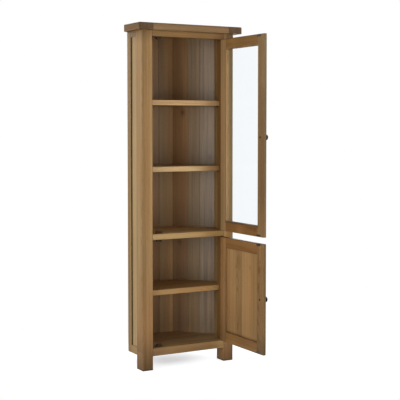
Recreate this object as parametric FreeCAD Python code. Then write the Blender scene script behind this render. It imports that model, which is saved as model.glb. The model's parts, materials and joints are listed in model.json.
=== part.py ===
# Corner display cabinet in oak, built piece by piece as a joiner builds it.
#
# Plan: a flat front between two square posts, two side returns at right angles to the front, two back walls
# at 45 degrees and a narrow flat back, so the cabinet fits into the corner of a room. A glazed door closes
# three compartments and a panelled door below it closes two. Both hang on the right-hand post and stand open
# at a right angle.
#
# Frame: +X to the viewer's right, +Y from the front to the back, +Z up, millimetres. The pieces are drawn
# with y = 0 on the front of the posts. When they are written they move back by ORIGIN_SHIFT, so the origin is
# on the floor in the middle of the space that the cabinet takes with its doors open.
import FreeCAD
import Part
import math
import os

V = FreeCAD.Vector
ORIGIN = V(0, 0, 0)
RIGHT = V(1, 0, 0)
BACK = V(0, 1, 0)
UP = V(0, 0, 1)
ROOT2 = math.sqrt(2)

# ---------------------------------------------------------------- driving dimensions: carcase
HEIGHT = 1850.0
FRONT_WIDTH = 558.0          # over both front posts
RETURN_DEPTH = 185.0         # front of the posts to the rear corner of a side return
BACK_DEPTH = 369.0           # front of the posts to the outer face of the flat back
POST_WIDTH = 60.0
POST_DEPTH = 75.0
LEG_CLEAR = 75.0             # free height under the carcase
REAR_LEG_X = (55.0, 125.0)
REAR_LEG_FRONT = 324.0

BOTTOM_RAIL_HEIGHT = 42.0
MIDDLE_RAIL_TOP = 731.0
SLIM_RAIL_HEIGHT = 30.0      # middle rail, frieze and side top rails
RAIL_DEPTH = 40.0
FIXED_SHELF_THICK = 22.0     # also the bottom board
FIXED_TONGUE = (8.0, 8.0)    # depth and thickness of their front tongues
SHELF_THICK = 28.0           # loose shelves
SHELF_FRONT = 44.0           # their front edge behind the front of the posts
SHELF_PLAY = 1.5
SHELF_UNDERSIDES = {"upper_shelf_high": 1420.0, "upper_shelf_low": 1061.0, "lower_shelf": 394.0}

SIDE_FRAME_THICK = 14.0
SIDE_STILE_WIDTH = 45.0
SIDE_TENON_THICK = 6.0
PANEL_THICK = 5.0
PANEL_RECESS = 6.0
PANEL_TONGUE = 8.0
TENON_TO_GROOVE = 1.0        # wood between a side rail's tenon and the panel groove

WALL_THICK = 12.0            # tongued and grooved boards of the back
WALL_SEAMS = (90.0, 158.0)   # board joints of a 45 degree wall, from the flat back outwards
WALL_TONGUE = (6.0, 4.0)     # length and thickness
SEAM_CHAMFER = 1.5

TOP_THICK = 37.0
TOP_OVERHANG = 35.0          # at the front and at both sides
TOP_SIDE_BOARD = 84.0        # width of the boards that run front to back
TOP_SEAMS = (100.0, 235.0)   # joints between the boards that run across
TOP_TONGUE = (9.0, 12.0)     # length and thickness
TOP_TONGUE_STOP = 27.0       # the end tongues stop this far in front of the slanted rear edge
TOP_ARRIS = 6.0

TENON_LENGTH = 25.0
TENON_THICK = 12.0
TENON_SHOULDER = 4.0
POST_ARRIS = 2.5
ARRIS = 1.5

# ---------------------------------------------------------------- driving dimensions: doors
DOOR_THICK = 18.0
DOOR_GAP = 2.0
DOOR_MEMBER = 58.0           # width of stiles and rails
DOOR_OPEN_DEG = 90.0
DOOR_TENON = (30.0, 8.0)     # length and thickness
DOOR_TENON_FROM_EDGE = (8.0, 44.0)
REBATE_WIDTH = 10.0
GLASS_FRONT = 6.0            # thickness of the lip in front of the glass
GLASS_THICK = 4.0
GLASS_PLAY = 1.0
BEAD_ROUND = 3.0
DOOR_PANEL_Y = (4.0, 10.0)
DOOR_PANEL_SEAMS = (3.0, 74.0)

KNOB_FROM_EDGE = 33.0
KNOB_HEIGHT = {"upper": 1250.0, "lower": 406.0}
KNOB_REACH = 26.0
KNOB_RADIUS = 13.5
KNOB_ROSE = (8.0, 1.6)       # radius and height
KNOB_NECK = (5.5, 8.0)       # radius, and the height at which the head begins
KNOB_DOME = 15.5             # radius of the domed face
KNOB_SCREW = (4.5, 2.0, 2.2)     # head radius, shank radius, head height
KNOB_SCREW_BITE = 12.0       # how far the screw runs into the knob

# ---------------------------------------------------------------- driving dimensions: hardware
PIN_FORWARD = 4.0            # hinge pin in front of the door's outer face
PIN_RADIUS = 1.5
PIN_CLEARANCE = 0.05
BARREL_RADIUS = 3.5
BARREL_CLEARANCE = 0.3
HINGE_LENGTH = 63.0
KNUCKLES = 3
KNUCKLE_GAP = 0.3
LEAF_THICK = 1.5
LEAF_WIDTH = 16.0            # on the wood
LEAF_GAP = 0.1               # from the closed joint's middle to a leaf
HINGE_SCREW_PITCH = 21.0
HINGE_FROM_END = {"upper": 100.0, "lower": 90.0}

HINGE_SCREW = (3.0, 1.5, 14.0)   # head radius, shank radius, length

CATCH_X = -170.0
CATCH_FRONT = 19.0
CATCH_BODY = (26.0, 16.0, 14.0)
CATCH_EARS = (42.0, 3.0)     # overall width and thickness
MAGNET = (18.0, 8.0, 7.0)
MAGNET_PROUD = 0.3
MAGNET_RISE = 3.5
STRIKE = (36.0, 1.2, 11.0)
STRIKE_PROUD = 0.4
STRIKE_FROM_END = 2.0

SHELF_PIN_FLATS = 5.0        # across the flats of the eight-sided pins
SHELF_PIN_OUT = 9.0
POST_PIN_IN = 12.0
WALL_PIN_IN = 8.0
POST_PIN_Y = 60.0
WALL_PIN_ALONG = 30.0

# ---------------------------------------------------------------- worked-out dimensions
HALF_WIDTH = FRONT_WIDTH / 2
POST_INNER = HALF_WIDTH - POST_WIDTH
CARCASE_TOP = HEIGHT - TOP_THICK
FRAME_INNER = HALF_WIDTH - SIDE_FRAME_THICK
STILE_FRONT = RETURN_DEPTH - SIDE_STILE_WIDTH
WALL_LINE = HALF_WIDTH + RETURN_DEPTH            # x + y on the outer face of the right-hand 45 degree wall
BACK_HALF = WALL_LINE - BACK_DEPTH
INNER_LINE = WALL_LINE - WALL_THICK * ROOT2      # x + y on its inner face
BACK_INNER = BACK_DEPTH - WALL_THICK
BACK_INNER_HALF = INNER_LINE - BACK_INNER
MITRE = BACK_HALF - BACK_INNER_HALF              # how far a mitred end runs out over the wall's thickness
WALL_LIP = SIDE_FRAME_THICK * ROOT2 - WALL_THICK  # lip of the side stile that covers the end of the boards
WALL_END = (BACK_DEPTH - RETURN_DEPTH) * ROOT2 - MITRE - WALL_LIP

BOTTOM_RAIL_Z = (LEG_CLEAR, LEG_CLEAR + BOTTOM_RAIL_HEIGHT)
MIDDLE_RAIL_Z = (MIDDLE_RAIL_TOP - SLIM_RAIL_HEIGHT, MIDDLE_RAIL_TOP)
FRIEZE_Z = (CARCASE_TOP - SLIM_RAIL_HEIGHT, CARCASE_TOP)
WALL_Z = (LEG_CLEAR, CARCASE_TOP)

DOOR_HALF = POST_INNER - DOOR_GAP
PIN_X = POST_INNER - DOOR_GAP / 2
PIN_AXIS = V(PIN_X, -PIN_FORWARD, 0)
DOOR_Z = {
    "upper": (MIDDLE_RAIL_Z[1] + DOOR_GAP, FRIEZE_Z[0] - DOOR_GAP),
    "lower": (BOTTOM_RAIL_Z[1] + DOOR_GAP, MIDDLE_RAIL_Z[0] - DOOR_GAP),
}
HINGE_Z = {
    "upper": (DOOR_Z["upper"][0] + HINGE_FROM_END["upper"], sum(DOOR_Z["upper"]) / 2,
              DOOR_Z["upper"][1] - HINGE_FROM_END["upper"]),
    "lower": (DOOR_Z["lower"][0] + HINGE_FROM_END["lower"], DOOR_Z["lower"][1] - HINGE_FROM_END["lower"]),
}
KNOB_X = KNOB_FROM_EDGE - DOOR_HALF
DOOR_REACH = PIN_X + DOOR_HALF + PIN_FORWARD     # free edge of an open door in front of the posts
ORIGIN_SHIFT = V(0, (DOOR_REACH - BACK_DEPTH) / 2, 0)


# ---------------------------------------------------------------- basic shapes
def box(x, y, z):
    """Block between the two limits given for each axis."""
    return Part.makeBox(x[1] - x[0], y[1] - y[0], z[1] - z[0], V(x[0], y[0], z[0]))


def plate(outline, thickness):
    """Solid over a closed outline of points, thickened along a vector."""
    return Part.Face(Part.makePolygon(outline + outline[:1])).extrude(thickness)


def prism(outline, z):
    """Upright prism over a plan outline of (x, y) points."""
    return plate([V(x, y, z[0]) for x, y in outline], UP * (z[1] - z[0]))


def rod(radius, base, axis, length):
    return Part.makeCylinder(radius, length, base, axis)


def turned(edges):
    """Solid of revolution about Z from a closed profile in the XZ plane."""
    return Part.Face(Part.Wire(edges)).revolve(ORIGIN, UP, 360)


def placed(shape, base, axis=UP):
    """Copy of a shape with its own origin at base and its own Z along axis."""
    copy = shape.copy()
    copy.Placement = FreeCAD.Placement(base, FreeCAD.Rotation(UP, axis))
    return copy


def mirrored(shape):
    """Left-hand twin of a right-hand shape."""
    return shape.mirror(ORIGIN, RIGHT)


def fused(shapes):
    return shapes[0].fuse(shapes[1:]).removeSplitter()


def wanted_edges(shape, wanted):
    """Straight edges of a shape whose two ends satisfy a test."""
    return [edge for edge in shape.Edges if len(edge.Vertexes) == 2
            and wanted(edge.Vertexes[0].Point, edge.Vertexes[1].Point)]


def rounded(shape, radius, wanted):
    return shape.makeFillet(radius, wanted_edges(shape, wanted))


def bevelled(shape, width, wanted):
    return shape.makeChamfer(width, wanted_edges(shape, wanted))


def near(a, b):
    return abs(a - b) < 1e-4


def upright_at(*corners):
    """Test for the upright edges over some plan points."""
    return lambda a, b: near(a.x, b.x) and near(a.y, b.y) and any(
        near(a.x, x) and near(a.y, y) for x, y in corners)


def along_x_at(y, *heights):
    """Test for the edges along X at one depth and some heights."""
    return lambda a, b: near(a.y, y) and near(b.y, y) and any(near(a.z, z) and near(b.z, z) for z in heights)


def eight_sided(sections):
    """Solid round Z through eight-sided rings given as (radius over the corners, height)."""
    turns = [math.radians(45 * step + 22.5) for step in range(8)]
    rings = [[V(radius * math.cos(turn), radius * math.sin(turn), z) for turn in turns] for radius, z in sections]
    outlines = [rings[0], rings[-1]]
    for low, high in zip(rings, rings[1:]):
        outlines += [[low[i - 1], low[i], high[i], high[i - 1]] for i in range(8)]
    faces = [Part.Face(Part.makePolygon(points + points[:1])) for points in outlines]
    return Part.makeSolid(Part.makeShell(faces))


def countersunk(size):
    """Countersunk screw, its head flush with z = 0 and its point at z = -length."""
    head, shank, length = size
    return eight_sided([(shank, -length), (shank, shank - head), (head, 0)])


def room_outline(front, play=0.0):
    """Plan of the inside behind a front edge, notched round the posts, smaller all round by some play."""
    notch = POST_INNER - play
    side = FRAME_INNER - play
    line = INNER_LINE - play * ROOT2
    back = BACK_INNER - play
    half = [(notch, front), (notch, POST_DEPTH + play), (side, POST_DEPTH + play), (side, line - side),
            (line - back, back)]
    return half + [(-x, y) for x, y in reversed(half)]


def wall_point(along, out):
    """Plan point on the right-hand 45 degree wall: along it from the flat back, and out from its inner face."""
    return (BACK_INNER_HALF + (along + out) / ROOT2, BACK_INNER + (out - along) / ROOT2)


def back_point(along, out):
    """Plan point on the flat back: along it from its middle to the right, and out from its inner face."""
    return (along, BACK_INNER + out)


# ---------------------------------------------------------------- carcase: frame
def front_post():
    """Right-hand post, which runs on below the carcase as a leg."""
    post = box((POST_INNER, HALF_WIDTH), (0, POST_DEPTH), (0, CARCASE_TOP))
    return rounded(post, POST_ARRIS,
                   upright_at((POST_INNER, 0), (HALF_WIDTH, 0), (POST_INNER, POST_DEPTH)))


def rear_leg():
    """Right-hand rear leg under the corner of the back, with a block on top that stands inside the boards."""
    inner, outer = REAR_LEG_X
    outline = [(inner, REAR_LEG_FRONT), (inner, BACK_DEPTH), (BACK_HALF, BACK_DEPTH),
               (outer, WALL_LINE - outer), (outer, REAR_LEG_FRONT)]
    foot = prism(outline, (0, LEG_CLEAR))
    block_z = (LEG_CLEAR, BOTTOM_RAIL_Z[1] - FIXED_SHELF_THICK)
    block = prism(outline, block_z).common(prism(room_outline(0), block_z))
    return fused([foot, block])


def front_rail(z):
    """Rail between the posts with a tenon at each end."""
    middle = RAIL_DEPTH / 2
    body = box((-POST_INNER, POST_INNER), (0, RAIL_DEPTH), z)
    body = bevelled(body, ARRIS, along_x_at(0, *z))
    reach = POST_INNER + TENON_LENGTH
    tenon = box((-reach, reach), (middle - TENON_THICK / 2, middle + TENON_THICK / 2),
                (z[0] + TENON_SHOULDER, z[1] - TENON_SHOULDER))
    return fused([body, tenon])


def side_rail(z, tenon_z):
    """Right-hand rail of the side return, tenoned into the post and into the rear stile."""
    middle = (FRAME_INNER + HALF_WIDTH) / 2
    body = box((FRAME_INNER, HALF_WIDTH), (POST_DEPTH, STILE_FRONT), z)
    tenon = box((middle - SIDE_TENON_THICK / 2, middle + SIDE_TENON_THICK / 2),
                (POST_DEPTH - TENON_LENGTH, STILE_FRONT + TENON_LENGTH), tenon_z)
    return fused([body, tenon])


def side_stile():
    """Right-hand rear stile; its rear edge is mitred and takes the ends of the wall boards behind a lip."""
    lip = WALL_LIP / ROOT2
    outline = [(HALF_WIDTH, STILE_FRONT), (HALF_WIDTH, RETURN_DEPTH), (HALF_WIDTH - lip, RETURN_DEPTH + lip),
               (FRAME_INNER, INNER_LINE - FRAME_INNER), (FRAME_INNER, STILE_FRONT)]
    return bevelled(prism(outline, WALL_Z), ARRIS, upright_at((HALF_WIDTH, RETURN_DEPTH)))


def side_panel():
    outer = HALF_WIDTH - PANEL_RECESS
    return box((outer - PANEL_THICK, outer), (POST_DEPTH - PANEL_TONGUE, STILE_FRONT + PANEL_TONGUE),
               (BOTTOM_RAIL_Z[1] - PANEL_TONGUE, FRIEZE_Z[0] + PANEL_TONGUE))


# ---------------------------------------------------------------- carcase: back, top and shelves
def board_end(kind, at, side):
    """Points of one end of a wall board from the inner to the outer face; side is 1 at its far end, -1 at
    its near end. Every kind but the mitred and the plain end has a chamfer on the inner face."""
    length, thick = WALL_TONGUE
    low = (WALL_THICK - thick) / 2
    high = (WALL_THICK + thick) / 2
    if kind == "plain":
        return [(at, 0), (at, WALL_THICK)]
    if kind == "mitre":
        return [(at, 0), (at + side * MITRE, WALL_THICK)]
    tip = at + length
    return [(at - side * SEAM_CHAMFER, 0), (at, SEAM_CHAMFER), (at, low), (tip, low), (tip, high), (at, high),
            (at, WALL_THICK)]


def wall_board(point, start, end):
    """Back board from one (kind, place) to another along a wall, with a tongue that fits the next groove."""
    outline = board_end(*end, 1) + board_end(*start, -1)[::-1]
    return prism([point(along, out) for along, out in outline], WALL_Z)


def back_boards():
    """The flat back's two boards and three boards in each 45 degree wall."""
    boards = {
        "back_board_left": wall_board(back_point, ("mitre", -BACK_INNER_HALF), ("joint", 0.0)),
        "back_board_right": wall_board(back_point, ("joint", 0.0), ("mitre", BACK_INNER_HALF)),
    }
    ends = [("mitre", 0.0)] + [("joint", seam) for seam in WALL_SEAMS] + [("plain", WALL_END)]
    for number, (start, end) in enumerate(zip(ends, ends[1:]), 1):
        board = wall_board(wall_point, start, end)
        boards["wall_board_right_%d" % number] = board
        boards["wall_board_left_%d" % number] = mirrored(board)
    return boards


def top_boards():
    """The top: two side boards that run front to back and three boards tongued in between them."""
    edge = HALF_WIDTH + TOP_OVERHANG
    front = -TOP_OVERHANG
    half = [(edge, front), (edge, WALL_LINE - edge), (BACK_HALF, BACK_DEPTH)]
    outline = half + [(-x, y) for x, y in reversed(half)]
    slab = prism(outline, (CARCASE_TOP, HEIGHT))

    def upper_or_corner(a, b):
        at_front = near(a.y, front) and near(b.y, front)
        at_side = near(abs(a.x), edge) and near(a.x, b.x)
        return (at_front or at_side) and not (near(a.z, CARCASE_TOP) and near(b.z, CARCASE_TOP))

    slab = rounded(slab, TOP_ARRIS, upper_or_corner)
    length, thick = TOP_TONGUE
    tongue_z = (CARCASE_TOP + (TOP_THICK - thick) / 2, CARCASE_TOP + (TOP_THICK + thick) / 2)
    seam_x = edge - TOP_SIDE_BOARD
    side = slab.common(box((seam_x, edge), (front, BACK_DEPTH), (CARCASE_TOP, HEIGHT)))
    marks = (front,) + TOP_SEAMS + (BACK_DEPTH,)
    boards = {}
    previous = None
    for name, y0, y1 in zip(("front", "middle", "rear"), marks, marks[1:]):
        board = slab.common(box((-seam_x, seam_x), (y0, y1), (CARCASE_TOP, HEIGHT)))
        reach_y = (max(y0, front + length), min(y1, WALL_LINE - seam_x - TOP_TONGUE_STOP))
        if reach_y[1] > reach_y[0]:
            tongue = box((-seam_x - length, seam_x + length), reach_y, tongue_z)
            board = fused([board, tongue])
            side = side.cut(tongue)
        if previous:
            spline = box((-seam_x + length, seam_x - length), (y0 - length, y0), tongue_z)
            board = fused([board, spline.common(slab)])
            boards["top_board_" + previous] = boards["top_board_" + previous].cut(spline)
        boards["top_board_" + name] = board
        previous = name
    boards["top_side_board_right"] = side
    boards["top_side_board_left"] = mirrored(side)
    return boards


def fixed_board(top):
    """Board that fills the plan behind a front rail, with a tongue in the rail."""
    depth, thick = FIXED_TONGUE
    z = (top - FIXED_SHELF_THICK, top)
    middle = sum(z) / 2
    tongue = box((-POST_INNER, POST_INNER), (RAIL_DEPTH - depth, RAIL_DEPTH),
                 (middle - thick / 2, middle + thick / 2))
    return fused([prism(room_outline(RAIL_DEPTH), z), tongue])


def loose_shelf(underside):
    z = (underside, underside + SHELF_THICK)
    shelf = prism(room_outline(SHELF_FRONT, SHELF_PLAY), z)
    return bevelled(shelf, ARRIS, along_x_at(SHELF_FRONT, *z))


# ---------------------------------------------------------------- shelf pins and catches
def standing(shape, base, axis):
    """Copy with its own Z along a level axis and its own X straight up."""
    across = axis.cross(UP)
    matrix = FreeCAD.Matrix(0, across.x, axis.x, base.x, 0, across.y, axis.y, base.y, 1, 0, 0, base.z,
                            0, 0, 0, 1)
    copy = shape.copy()
    copy.Placement = FreeCAD.Placement(matrix)
    return copy


def shelf_pins():
    """Four pins under each loose shelf, two in the posts and two in the 45 degree walls, one flat upwards."""
    corner_radius = SHELF_PIN_FLATS / 2 / math.cos(math.radians(22.5))
    wall = wall_point(WALL_PIN_ALONG, 0)
    seats = [(V(POST_INNER, POST_PIN_Y, 0), V(-1, 0, 0), POST_PIN_IN),
             (V(wall[0], wall[1], 0), V(-1, -1, 0).normalize(), WALL_PIN_IN)]
    pins = []
    for underside in SHELF_UNDERSIDES.values():
        for seat, axis, depth in seats:
            pin = eight_sided([(corner_radius, -depth), (corner_radius, SHELF_PIN_OUT)])
            pin = standing(pin, seat + UP * (underside - SHELF_PIN_FLATS / 2), axis)
            pins += [pin, mirrored(pin)]
    return pins


def catch():
    """Magnetic catch that stands on z = 0 with its face towards the door: housing with ears, and magnet."""
    width, depth, height = CATCH_BODY
    ears, ear_thick = CATCH_EARS
    y = (CATCH_FRONT, CATCH_FRONT + depth)
    base = bevelled(box((-ears / 2, ears / 2), y, (0, ear_thick)), 2 * ARRIS,
                    upright_at(*[(x, at) for x in (-ears / 2, ears / 2) for at in y]))
    body = bevelled(box((-width / 2, width / 2), y, (0, height)), ARRIS, along_x_at(y[0], height))
    magnet = box((-MAGNET[0] / 2, MAGNET[0] / 2), (CATCH_FRONT - MAGNET_PROUD, CATCH_FRONT + MAGNET[1]),
                 (MAGNET_RISE, MAGNET_RISE + MAGNET[2]))
    return fused([base, body]).cut(magnet), magnet


def catches():
    """Housings and magnets of the catches above and below each door."""
    housings, magnets = [], []
    for height, way in ((FRIEZE_Z[0], -1), (MIDDLE_RAIL_Z[1], 1), (MIDDLE_RAIL_Z[0], -1), (BOTTOM_RAIL_Z[1], 1)):
        for shape, found in zip(catch(), (housings, magnets)):
            turned_over = shape if way > 0 else shape.mirror(ORIGIN, UP)
            found.append(turned_over.translated(V(CATCH_X, 0, height)))
    return housings, magnets


# ---------------------------------------------------------------- hinges, drawn with the door closed
def hinge_leaf(height, way):
    """Leaf on the post (way 1) or on the door (way -1) with every other knuckle, and its screws."""
    own = range(0, KNUCKLES, 2) if way > 0 else range(1, KNUCKLES, 2)
    bore_radius = PIN_RADIUS if way > 0 else PIN_RADIUS + PIN_CLEARANCE
    low = height - HINGE_LENGTH / 2
    pitch = HINGE_LENGTH / KNUCKLES
    trim = KNUCKLE_GAP / 2
    faces = sorted((PIN_X + way * LEAF_GAP, PIN_X + way * (LEAF_GAP + LEAF_THICK)))
    leaf = box(faces, (-PIN_FORWARD, LEAF_WIDTH), (low + trim, low + HINGE_LENGTH - trim))
    knuckles = []
    for number in range(KNUCKLES):
        start = low + number * pitch
        if number in own:
            knuckles.append(rod(BARREL_RADIUS, PIN_AXIS + UP * (start + trim), UP, pitch - 2 * trim))
        else:
            notch_back = BARREL_RADIUS + BARREL_CLEARANCE - PIN_FORWARD
            leaf = leaf.cut(box(faces, (-PIN_FORWARD, notch_back), (start - trim, start + pitch + trim)))
    bore = rod(bore_radius, PIN_AXIS + UP * low, UP, HINGE_LENGTH)
    face = V(PIN_X + way * LEAF_GAP, LEAF_WIDTH / 2, height)
    screws = [placed(countersunk(HINGE_SCREW), face + UP * step, V(-way, 0, 0))
              for step in (-HINGE_SCREW_PITCH, 0, HINGE_SCREW_PITCH)]
    return fused([leaf] + knuckles).cut([bore] + screws), screws


def hinges(door, way):
    """All leaves on one side of a door's hinges, and their screws."""
    leaves, screws = [], []
    for height in HINGE_Z[door]:
        leaf, three = hinge_leaf(height, way)
        leaves.append(leaf)
        screws += three
    return leaves, screws


def hinge_pins():
    """Pins pressed into the post leaves' knuckles."""
    length = HINGE_LENGTH - KNUCKLE_GAP
    return [rod(PIN_RADIUS, PIN_AXIS + UP * (height - length / 2), UP, length)
            for height in HINGE_Z["upper"] + HINGE_Z["lower"]]


# ---------------------------------------------------------------- doors, drawn closed
def door_members(door):
    """Stiles over the full height and tenoned rails between them, all with one eased outer arris."""
    z = DOOR_Z[door]
    sides = (-DOOR_HALF, DOOR_HALF)
    faces = (0, DOOR_THICK)
    inner = DOOR_HALF - DOOR_MEMBER

    def on_arris(a, b):
        limits = [near(abs(a.x), DOOR_HALF) and near(a.x, b.x), any(near(a.y, f) and near(b.y, f) for f in faces),
                  any(near(a.z, f) and near(b.z, f) for f in z)]
        return sum(limits) == 2

    block = bevelled(box(sides, faces, z), ARRIS, on_arris)
    stiles = [block.common(box(pair, faces, z)) for pair in ((inner, DOOR_HALF), (-DOOR_HALF, -inner))]
    length, thick = DOOR_TENON
    tenon_y = ((DOOR_THICK - thick) / 2, (DOOR_THICK + thick) / 2)
    near_edge, far_edge = DOOR_TENON_FROM_EDGE
    rails = []
    for rail_z, tenon_z in (((z[1] - DOOR_MEMBER, z[1]), (z[1] - far_edge, z[1] - near_edge)),
                            ((z[0], z[0] + DOOR_MEMBER), (z[0] + near_edge, z[0] + far_edge))):
        body = block.common(box((-inner, inner), faces, rail_z))
        rails.append(fused([body, box((-inner - length, inner + length), tenon_y, tenon_z)]))
    stiles = [stile.cut(rails) for stile in stiles]
    return dict(zip(("hinge_stile", "free_stile", "top_rail", "bottom_rail"), stiles + rails))


def glazing():
    """Pane in a rebate cut from the inside, and the four mitred beads that hold it."""
    z = DOOR_Z["upper"]
    inner = DOOR_HALF - DOOR_MEMBER
    wide = inner + REBATE_WIDTH
    sight_z = (z[0] + DOOR_MEMBER, z[1] - DOOR_MEMBER)
    wide_z = (sight_z[0] - REBATE_WIDTH, sight_z[1] + REBATE_WIDTH)
    rebate = box((-wide, wide), (GLASS_FRONT, DOOR_THICK), wide_z)
    glass_y = (GLASS_FRONT, GLASS_FRONT + GLASS_THICK)
    pane = box((GLASS_PLAY - wide, wide - GLASS_PLAY), glass_y, (wide_z[0], wide_z[1] - GLASS_PLAY))
    bead_y = (glass_y[1], DOOR_THICK)
    hole = box((-inner, inner), bead_y, sight_z)
    ring = box((-wide, wide), bead_y, wide_z).cut(hole)

    def sight_arris(a, b):
        on_face = near(a.y, DOOR_THICK) and near(b.y, DOOR_THICK)
        at_rim = any(near(abs(p.x), wide) or near(p.z, wide_z[0]) or near(p.z, wide_z[1]) for p in (a, b))
        return on_face and not at_rim

    ring = rounded(ring, BEAD_ROUND, sight_arris)
    low_left, low_right = (-wide, wide_z[0]), (wide, wide_z[0])
    top_left, top_right = (-wide, wide_z[1]), (wide, wide_z[1])
    in_low_left, in_low_right = (-inner, sight_z[0]), (inner, sight_z[0])
    in_top_left, in_top_right = (-inner, sight_z[1]), (inner, sight_z[1])
    quarters = [(low_left, low_right, in_low_right, in_low_left), (top_left, top_right, in_top_right, in_top_left),
                (low_left, top_left, in_top_left, in_low_left), (low_right, top_right, in_top_right, in_low_right)]
    beads = [ring.common(plate([V(x, bead_y[0], height) for x, height in quarter], BACK * (bead_y[1] - bead_y[0])))
             for quarter in quarters]
    return rebate, pane, beads


def door_panel():
    """Panel of three glued boards, its edges in a groove round the frame."""
    z = DOOR_Z["lower"]
    reach = DOOR_HALF - DOOR_MEMBER + PANEL_TONGUE
    panel_z = (z[0] + DOOR_MEMBER - PANEL_TONGUE, z[1] - DOOR_MEMBER + PANEL_TONGUE)
    marks = (-reach,) + DOOR_PANEL_SEAMS + (reach,)
    return [box(pair, DOOR_PANEL_Y, panel_z) for pair in zip(marks, marks[1:])]


def knob(door):
    """Turned knob on the door's outer face, and the screw that holds it from inside."""
    rose_radius, rose_height = KNOB_ROSE
    neck_radius, neck_height = KNOB_NECK
    dome_middle = KNOB_REACH - KNOB_DOME
    rim_turn = math.acos(KNOB_RADIUS / KNOB_DOME)
    half_turn = (rim_turn + math.pi / 2) / 2
    corners = [ORIGIN, V(rose_radius, 0, 0), V(rose_radius, 0, rose_height), V(neck_radius, 0, rose_height),
               V(neck_radius, 0, neck_height), V(KNOB_RADIUS, 0, dome_middle + KNOB_DOME * math.sin(rim_turn))]
    crown = V(0, 0, KNOB_REACH)
    on_dome = V(KNOB_DOME * math.cos(half_turn), 0, dome_middle + KNOB_DOME * math.sin(half_turn))
    profile = [Part.makeLine(a, b) for a, b in zip(corners, corners[1:])]
    profile += [Part.Arc(corners[-1], on_dome, crown).toShape(), Part.makeLine(crown, ORIGIN)]
    head, shank, head_height = KNOB_SCREW
    screw = eight_sided([(shank, -KNOB_SCREW_BITE), (shank, DOOR_THICK), (head, DOOR_THICK),
                         (head, DOOR_THICK + head_height)])
    seat = V(KNOB_X, 0, KNOB_HEIGHT[door])
    screw = placed(screw, seat, BACK)
    return placed(turned(profile), seat, V(0, -1, 0)).cut(screw), screw


def strikes(door):
    """Steel plates for the catches near the top and the bottom of the door."""
    width, thick, height = STRIKE
    outer = DOOR_THICK + STRIKE_PROUD
    low, high = DOOR_Z[door]
    return [box((CATCH_X - width / 2, CATCH_X + width / 2), (outer - thick, outer), (start, start + height))
            for start in (low + STRIKE_FROM_END, high - STRIKE_FROM_END - height)]


def door_nodes(door):
    """Every node of one door, swung open about its hinge pin."""
    members = door_members(door)
    leaves, screws = hinges(door, -1)
    plates = strikes(door)
    handle, handle_screw = knob(door)
    screws = screws + [handle_screw]
    infill = {}
    if door == "upper":
        rebate, pane, beads = glazing()
        let_in = [rebate]
        infill = {"glass": pane, "glazing_beads": Part.makeCompound(beads)}
    else:
        boards = door_panel()
        let_in = boards
        infill = {"panel": Part.makeCompound(boards)}
    seated = {name: shape.cut(let_in + leaves + plates + screws) for name, shape in members.items()}
    seated.update(infill)
    seated["knob"] = handle
    seated["hinge_leaves"] = Part.makeCompound(leaves)
    seated["strike_plates"] = Part.makeCompound(plates)
    seated["screws"] = Part.makeCompound(screws)
    nodes = {}
    for name, shape in seated.items():
        swung = shape.copy()
        swung.rotate(PIN_AXIS, UP, DOOR_OPEN_DEG)
        nodes["%s_door_%s" % (door, name)] = swung
    return nodes


# ---------------------------------------------------------------- carcase as a whole
def carcase_nodes():
    """Every node that stands still, each let into its neighbours."""
    tenon_low = (BOTTOM_RAIL_Z[0] + TENON_SHOULDER, BOTTOM_RAIL_Z[1] - PANEL_TONGUE - TENON_TO_GROOVE)
    tenon_top = (FRIEZE_Z[0] + PANEL_TONGUE + TENON_TO_GROOVE, FRIEZE_Z[1] - TENON_SHOULDER)
    pins = shelf_pins()
    housings, magnets = catches()
    post_leaves, screws = [], []
    for door in ("upper", "lower"):
        leaves, leaf_screws = hinges(door, 1)
        post_leaves += leaves
        screws += leaf_screws

    rails = {"frieze_rail": front_rail(FRIEZE_Z), "middle_rail": front_rail(MIDDLE_RAIL_Z),
             "bottom_rail": front_rail(BOTTOM_RAIL_Z)}
    boards = {"fixed_shelf": fixed_board(MIDDLE_RAIL_Z[1]), "bottom_board": fixed_board(BOTTOM_RAIL_Z[1])}
    panel = side_panel()
    top_rail = side_rail(FRIEZE_Z, tenon_top)
    low_rail = side_rail(BOTTOM_RAIL_Z, tenon_low)
    let_into_post = [top_rail, low_rail, panel] + list(rails.values())

    nodes = {}
    for side, twin in (("right", lambda shape: shape), ("left", mirrored)):
        hardware = post_leaves + screws if side == "right" else []
        nodes["front_post_" + side] = twin(front_post().cut(let_into_post)).cut(pins + hardware)
        nodes["rear_leg_" + side] = twin(rear_leg())
        nodes["side_stile_" + side] = twin(side_stile().cut([top_rail, low_rail, panel]))
        nodes["side_top_rail_" + side] = twin(top_rail.cut(panel))
        nodes["side_bottom_rail_" + side] = twin(low_rail.cut(panel))
        nodes["side_panel_" + side] = twin(panel)
    for name, shape in rails.items():
        nodes[name] = shape.cut(list(boards.values()))
    nodes.update(boards)
    for name, shape in back_boards().items():
        nodes[name] = shape.cut(pins)
    nodes.update(top_boards())
    for name, underside in SHELF_UNDERSIDES.items():
        nodes[name] = loose_shelf(underside)
    nodes["shelf_pins"] = Part.makeCompound(pins)
    nodes["catch_housings"] = Part.makeCompound(housings)
    nodes["catch_magnets"] = Part.makeCompound(magnets)
    nodes["hinge_post_leaves"] = Part.makeCompound(post_leaves)
    nodes["hinge_pins"] = Part.makeCompound(hinge_pins())
    nodes["hinge_post_screws"] = Part.makeCompound(screws)
    return nodes


os.makedirs("parts", exist_ok=True)
nodes = carcase_nodes()
for door_name in ("upper", "lower"):
    nodes.update(door_nodes(door_name))
for node_name, node_shape in nodes.items():
    node_shape.translate(ORIGIN_SHIFT)
    node_shape.exportStep("parts/%s.step" % node_name)
    print("%-28s solids %2d  volume %9.1f cm3" % (node_name, len(node_shape.Solids), node_shape.Volume / 1000))
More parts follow.
